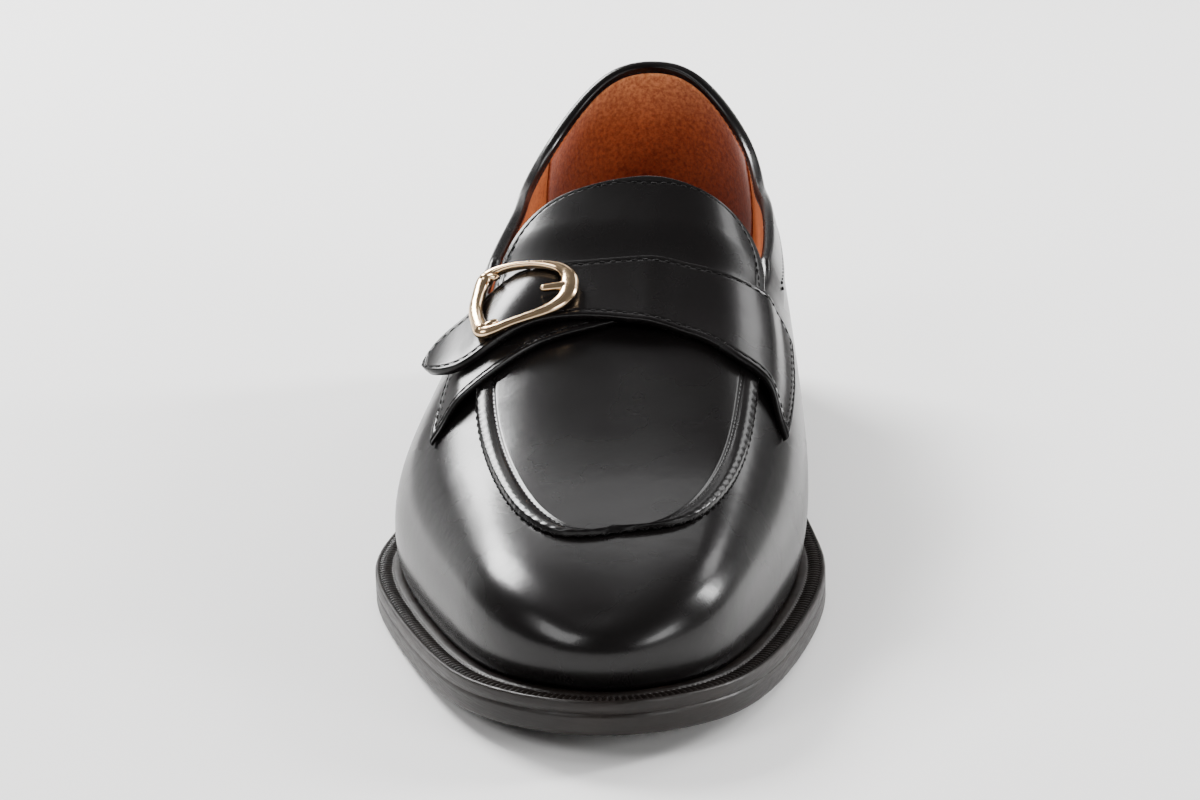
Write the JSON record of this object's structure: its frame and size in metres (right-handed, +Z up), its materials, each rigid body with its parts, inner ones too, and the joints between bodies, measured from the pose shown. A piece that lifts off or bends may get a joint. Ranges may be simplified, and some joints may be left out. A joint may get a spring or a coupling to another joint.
{
  "type": "loafer",
  "caption": "Right slip-on dress loafer with a raised plug and tongue, a strap over the instep through a ring buckle, a ribbed welt, a leather sole and a low stacked heel.",
  "frame": {"origin": "middle of the shoe's outline box, on the floor under the sole", "axes": "+Y from the toe to the heel, +X to the inner side of the foot, +Z up"},
  "size_m": [0.1004, 0.2746, 0.0859],
  "materials": {
    "upper_leather": "smooth polished black calf leather",
    "sole_leather": "dyed and burnished dark brown-black sole leather",
    "welt_leather": "black welt leather with fine cross ribs",
    "heel_rubber": "matt black rubber",
    "lining_leather": "matt orange-brown lining leather",
    "buckle_metal": "polished pale gold plate"
  },
  "bodies": {
    "root": {"outsole": "sole_leather", "welt": "welt_leather", "heel_stack": "sole_leather", "heel_top_piece": "heel_rubber", "insole": "lining_leather", "upper": "upper_leather", "plug_and_tongue": "upper_leather", "strap_wing": "upper_leather", "strap": "upper_leather", "buckle": "buckle_metal"}
  },
  "joints": []
}
